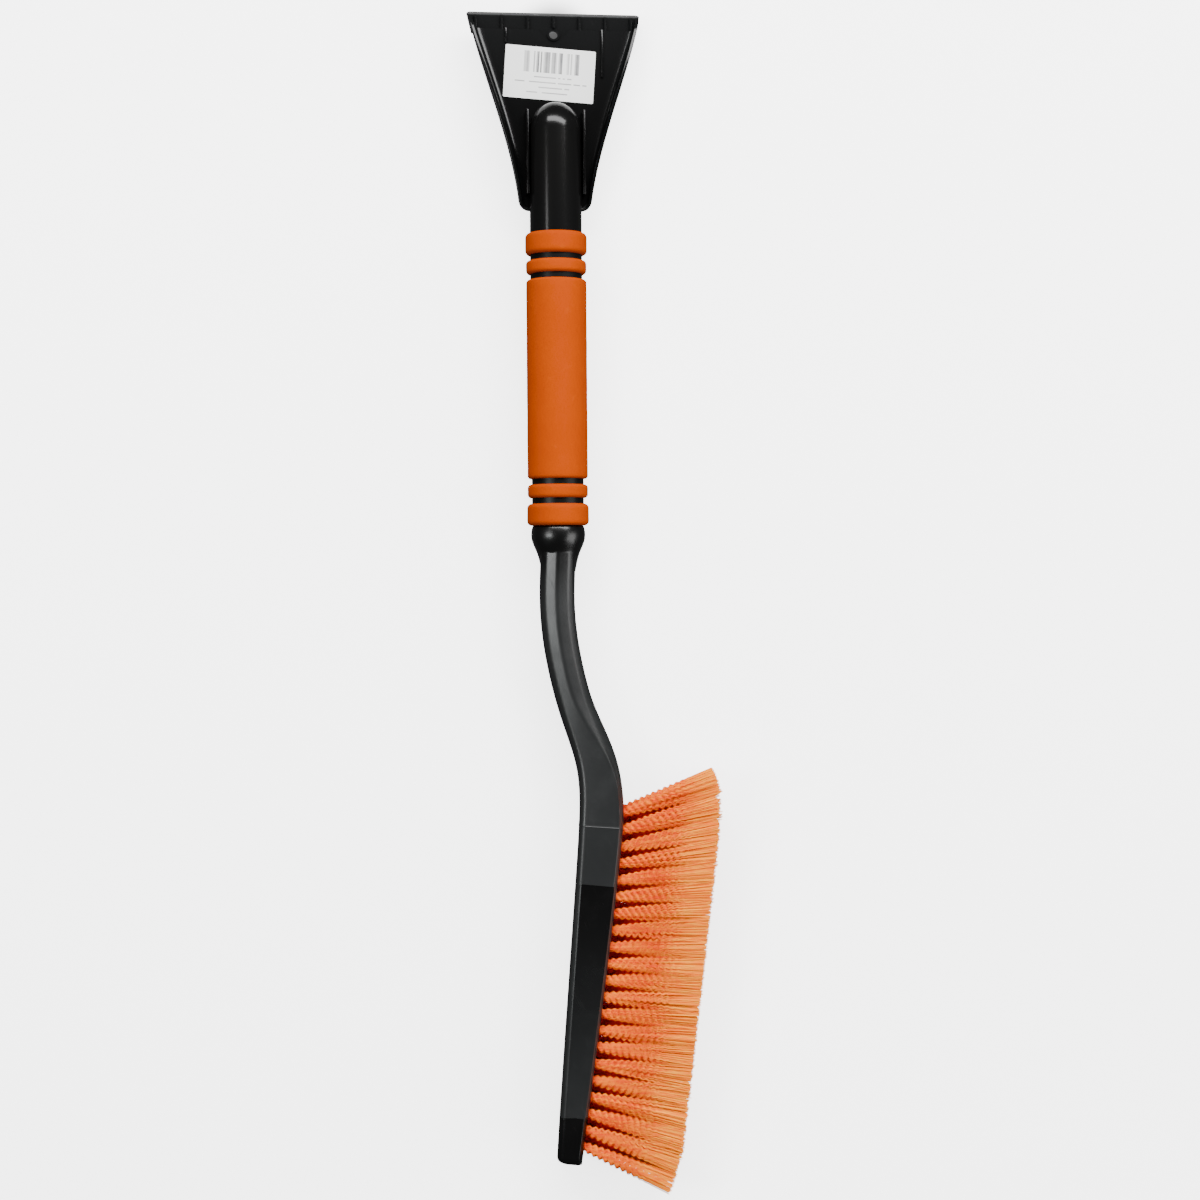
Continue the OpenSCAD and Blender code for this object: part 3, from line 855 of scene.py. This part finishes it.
def make_tufts():
    paint = bristle_finish()
    for station in range(STATIONS):
        rng = random.Random(500 + station)
        curve = bpy.data.curves.new(f"tufts_{station + 1:02d}_filaments", "CURVE")
        curve.dimensions = "3D"
        curve.bevel_depth = FILAMENT_RADIUS * MM
        curve.bevel_resolution = 0
        curve.resolution_u = 1
        for share, row in station_tufts(station):
            for strand in tuft_filaments(station, share, row, rng):
                spline = curve.splines.new("POLY")
                spline.points.add(len(strand) - 1)
                flat = [c for p in strand for c in (*at(*p), 1.0)]
                spline.points.foreach_set("co", flat)
        node = f"tufts_{station + 1:02d}"
        add_piece(node + "_filaments", curve, paint, "bristle_orange", node)


# Scraper head

HEAD_TURN = math.radians(7)
BLADE_WIDTH, FAN_LENGTH = 101.6, 116.0
HEEL_Y = 98.0
BLADE_Y = HEEL_Y + FAN_LENGTH
FAN_TAPER = (25.2, 28.8, 23.9)
HEEL_ROUND = 6.0
TRAY_Z, TRAY_THICK = -3.0, 2.4
WALL_THICK, WALL_LOW, WALL_HIGH = 2.0, 2.0, 9.0
STEP_Y = BLADE_Y - 10.6
TROUGH_Z = TRAY_Z - TRAY_THICK
BLADE_THICK = 2.4
BLADE_BACK_Z = TROUGH_Z - BLADE_THICK
EDGE_THICK = 0.6
BLADE_ROUND = 2.5
POCKET_WIDTH, POCKET_Y, POCKET_RADIUS, POCKET_RIM = 19.0, BLADE_Y - 14.8, 4.4, 2.0
HANG_X, HOLE_Y = -0.8, BLADE_Y - 13.0
HANG_RADIUS, BOSS_RADIUS, BOSS_HEIGHT = 2.5, 3.7, 0.8
TEETH, TOOTH_PITCH, TOOTH_WIDTH = 7, 15.1, 1.8
NOSE_Y, NOSE_LENGTH = 144.0, 16.5
TUBE_RADIUS = 15.0
SPIGOT_RADIUS, SPIGOT_BORE, SPIGOT_Y, SHANK_Y = 12.95, 9.55, 38.5, 78.5
PIN_Y, PIN_HOLE_RADIUS = 49.5, 1.55
SUNK = 0.6
SHANK_RIB_X, SHANK_RIB_HALF, SHANK_RIB_Y, SHANK_RIB_TOP = 16.4, 0.8, (106.5, 155.5), 6
LABEL_RIB_X, LABEL_RIB_HALF, LABEL_RIB_TOP = 28, 0.7, -1.7
LABEL_RIB_Y = {-1: 195.5, 1: 176}


def fan_half(y):
    t = (BLADE_Y - y) / FAN_LENGTH
    return BLADE_WIDTH / 2 - t * (FAN_TAPER[0] + t * (FAN_TAPER[1] - t * FAN_TAPER[2]))


def wall_top(y):
    t = min((BLADE_Y - y) / FAN_LENGTH, 1.0)
    rise = max(math.sin(math.pi * t ** 0.75), 0) ** 1.2
    return TRAY_Z + WALL_LOW + (WALL_HIGH - WALL_LOW) * rise


def fan_stations():
    """Half widths of the fan along its length, from the blade round the heel's corner."""
    slope = (FAN_TAPER[0] + 2 * FAN_TAPER[1] - 3 * FAN_TAPER[2]) / FAN_LENGTH
    angle = math.atan(slope)
    centre = fan_half(HEEL_Y) + HEEL_ROUND * (slope - 1 / math.cos(angle))
    start = HEEL_Y + HEEL_ROUND * (1 - math.sin(angle))
    stations = [(fan_half(y), y) for y in (mix(BLADE_Y, start, i / 32) for i in range(33))]
    for i in range(1, 9):
        a = mix(angle, math.pi / 2, i / 8)
        half, y = centre + HEEL_ROUND * math.cos(a), HEEL_Y + HEEL_ROUND * (1 - math.sin(a))
        stations.append((half, y))
    return stations


def tray_ring(bm, half, y):
    top = wall_top(y)
    right = [
        (half - WALL_THICK, TRAY_Z, 6.0), (half - WALL_THICK, top, 0.6),
        (half, top, 0.6), (half, TROUGH_Z, 5.5),
    ]
    left = [(-x, z, radius) for x, z, radius in reversed(right)]
    return [bm.verts.new(at(x, y, z)) for x, z in rounded(right + left, 6)]


def tray():
    bm = bmesh.new()
    join_rings(bm, [tray_ring(bm, half, y) for half, y in fan_stations()])
    return bm


def pocket_side(grow):
    """The right side of the pocket round the hanging hole, from the step down."""
    corner = Vector((POCKET_WIDTH / 2 + grow, STEP_Y))
    centre = Vector((0, POCKET_Y))
    radius = POCKET_RADIUS + grow
    to_corner = corner - centre
    start = math.atan2(to_corner.y, to_corner.x) - math.acos(radius / to_corner.length)
    turns = [mix(start, -math.pi / 2, i / 8) for i in range(9)]
    return [corner] + [centre + radius * Vector((math.cos(a), math.sin(a))) for a in turns]


def trough_outline(inset, foot, head, grow):
    """Outline of the trough and its pocket, or of the plate beneath them."""
    right = [Vector((fan_half(BLADE_Y) - inset, head)), Vector((fan_half(foot) - inset, foot))]
    side = [p for p in pocket_side(grow) if p.y < foot] if grow else pocket_side(grow)
    right += side
    left = [Vector((-p.x, p.y)) for p in reversed(right[:-1])]
    return right + left


def add_blade(bm):
    plate = trough_outline(0, STEP_Y - POCKET_RIM, BLADE_Y, POCKET_RIM)
    add_prism(bm, plate, BLADE_BACK_Z, TROUGH_Z + 0.02)
    foot = STEP_Y - POCKET_RIM
    for side in (-1, 1):
        outer = [Vector((side * fan_half(y), y)) for y in (foot, BLADE_Y)]
        inner = [Vector((p.x - side * WALL_THICK, p.y)) for p in reversed(outer)]
        add_prism(bm, outer + inner, BLADE_BACK_Z, TRAY_Z + 1)


def add_shank(bm):
    nose = [(math.cos(a), math.sin(a)) for a in (math.pi / 2 * i / 18 for i in range(19))]
    profile = [
        (SPIGOT_BORE, SPIGOT_Y), (SPIGOT_RADIUS - 0.5, SPIGOT_Y), (SPIGOT_RADIUS, SPIGOT_Y + 0.5),
        (SPIGOT_RADIUS, SHANK_Y), (TUBE_RADIUS, SHANK_Y),
    ]
    profile += [(TUBE_RADIUS * c, NOSE_Y + NOSE_LENGTH * s) for c, s in nose[:-1]]
    profile += [(0, NOSE_Y + NOSE_LENGTH), (0, NOSE_Y - 1), (SPIGOT_BORE, NOSE_Y - 1)]
    spin_about_handle(bm, profile, 80)


def head_additions():
    """Everything that stands on the tray: blade, teeth, ribs, boss and shank."""
    parts = []
    bm = bmesh.new()
    add_blade(bm)
    parts.append(bm)
    bm = bmesh.new()
    for i in range(TEETH):
        x = (i - (TEETH - 1) / 2) * TOOTH_PITCH
        low = (x - TOOTH_WIDTH / 2, STEP_Y - 0.5, TROUGH_Z - 0.8)
        add_box(bm, low, (x + TOOTH_WIDTH / 2, BLADE_Y - 0.6, TRAY_Z - 0.2), 0.5)
    add_rod(bm, (0, HOLE_Y, TROUGH_Z - 0.5), (0, HOLE_Y, TROUGH_Z + BOSS_HEIGHT), BOSS_RADIUS)
    for side in (-1, 1):
        x, (foot, head) = side * SHANK_RIB_X, SHANK_RIB_Y
        low = (x - SHANK_RIB_HALF, foot, TRAY_Z - SUNK)
        add_box(bm, low, (x + SHANK_RIB_HALF, head, SHANK_RIB_TOP), 0.5)
        x = side * LABEL_RIB_X
        low = (x - LABEL_RIB_HALF, LABEL_RIB_Y[side], TRAY_Z - SUNK)
        add_box(bm, low, (x + LABEL_RIB_HALF, STEP_Y + SUNK, LABEL_RIB_TOP), 0.4)
    parts.append(bm)
    bm = bmesh.new()
    add_shank(bm)
    parts.append(bm)
    return parts


def head_cuts():
    """What is cut away last: the edge's bevel and corners, the hole and the room above it."""
    far = 200
    bevel = bmesh.new()
    low, high = BLADE_BACK_Z + EDGE_THICK, 30
    rings = []
    for x in (-far, far):
        front = [(BLADE_Y, low), (BLADE_Y + far, low)]
        above = [(BLADE_Y + far, low + far), (BLADE_Y - high, low + high)]
        rings.append([bevel.verts.new(at(x, y, z)) for y, z in front + above])
    join_rings(bevel, rings)
    corners = bmesh.new()
    for side in (-1, 1):
        centre = Vector((side * (BLADE_WIDTH / 2 - BLADE_ROUND), BLADE_Y - BLADE_ROUND))
        arc = []
        for i in range(9):
            a = math.pi / 2 * i / 8
            arc.append(centre + BLADE_ROUND * Vector((side * math.cos(a), math.sin(a))))
        outer = [centre + Vector(v) for v in ((0, far), (side * far, far), (side * far, 0))]
        add_prism(corners, arc + outer, -60, 60)
    boss_top = TROUGH_Z + BOSS_HEIGHT
    hole = bmesh.new()
    add_rod(hole, (0, HOLE_Y, BLADE_BACK_Z - 1), (0, HOLE_Y, boss_top + 1), HANG_RADIUS, 40)
    room = bmesh.new()
    add_rod(room, (0, HOLE_Y, boss_top), (0, HOLE_Y, 20), BOSS_RADIUS)
    return bevel, corners, hole, room


def make_head():
    paint = scraper_finish()
    trough = bmesh.new()
    add_prism(trough, trough_outline(WALL_THICK, STEP_Y, BLADE_Y + 1, 0), TROUGH_Z - 1, 30)
    steps = [("DIFFERENCE", solid(trough))]
    steps += [("UNION", solid(bm)) for bm in head_additions()]
    steps += [("DIFFERENCE", solid(bm)) for bm in head_cuts()]
    bm = carved(solid(tray()), steps)
    turn = Matrix.Rotation(HEAD_TURN, 3, "Y")
    bmesh.ops.rotate(bm, verts=bm.verts, cent=grip_middle, matrix=turn)
    pin_hole = bmesh.new()
    add_rod(pin_hole, (0, PIN_Y, -20), (0, PIN_Y, 20), PIN_HOLE_RADIUS, 24)
    bm = carved(solid(bm), [("DIFFERENCE", solid(pin_hole))])
    mesh = finish_mesh(bm, "scraper_head_moulding", 32)
    add_piece("scraper_head_moulding", mesh, paint, "scraper_plastic", "scraper_head")


# Label

LABEL_SIZE = (52.6, 30.4, 0.16)
LABEL_AT = (-2.7, 177.6)
LABEL_TURN = math.radians(-3.8)
LABEL_ROUND = 0.8


def label_place():
    """The label's own frame: its middle, and how it is turned."""
    turn = Matrix.Rotation(HEAD_TURN, 3, "Y")
    centre = turn @ Vector((*LABEL_AT, TRAY_Z + LABEL_SIZE[2] / 2))
    return at(*centre), turn @ Matrix.Rotation(LABEL_TURN, 3, "Z")


def label_finish():
    """White sticker with plain bars and rules printed on it."""
    paint = Finish("label_white", {"Specular IOR Level": 0.4})
    centre, turn = label_place()
    local = paint.mapped(location=centre, rotation=turn.to_euler())
    u, v, _ = (part / MM for part in paint.parts(local))

    def chance(value, seed):
        links = {"W": value + seed}
        node = paint.node("ShaderNodeTexWhiteNoise", {"noise_dimensions": "1D"}, links)
        return Value(paint, node.outputs["Value"])

    def within(value, low, high):
        return value.above(low) * value.below(high)

    bar = (u / 0.8).floor()
    bars = chance(bar, 3.5).above(0.4) * (chance(bar, 8.5) * 0.7 + 0.3)
    ink = bars * within(u, -15.5, 17) * within(v, 0.4, 12.6)
    for height, low, high in ((-2.2, -9, 13), (-5.2, -20, 22), (-8.2, -6, 12), (-11.2, -13, 11)):
        words = chance((u / 1.3).floor(), height).above(0.2)
        line = within(u, low, high) * within(v, height - 0.35, height + 0.35)
        ink = ink + words * line * 0.7
    fade_out = paint.noise(60, 3, 0.6)
    share = ink * (fade_out * 0.5 + 0.6)
    paint.feed("Base Color", paint.blend((0.70, 0.70, 0.69, 1), (0.015, 0.015, 0.02, 1), share))
    paint.feed("Roughness", paint.noise(500, 2, 0.5) * 0.15 + 0.42)
    return paint


def make_label():
    width, height, thick = LABEL_SIZE
    signs = ((-1, -1), (1, -1), (1, 1), (-1, 1))
    corners = [(sx * width / 2, sy * height / 2, LABEL_ROUND) for sx, sy in signs]
    centre, turn = label_place()
    bm = bmesh.new()
    rings = []
    for z in (-thick / 2, thick / 2):
        outline = rounded(corners)
        rings.append([bm.verts.new(centre + turn @ Vector((*p, z)) * MM) for p in outline])
    join_rings(bm, rings)
    mesh = finish_mesh(bm, "barcode_sticker")
    add_piece("barcode_sticker", mesh, label_finish(), "label_white", "barcode_label")


# ------------------------------------------------------------------ the whole part

make_camera()
make_studio()
make_floor()
make_grip()
make_arm()
make_tufts()
make_head()
make_label()
repaint("handle_tube", tube_finish())
steel = steel_finish("pin_steel", (0.55, 0.55, 0.56, 1))
repaint("scraper_pin", steel)
repaint("arm_pin", steel)
repaint("tuft_anchors", steel_finish("anchor_wire", (0.6, 0.58, 0.54, 1)))
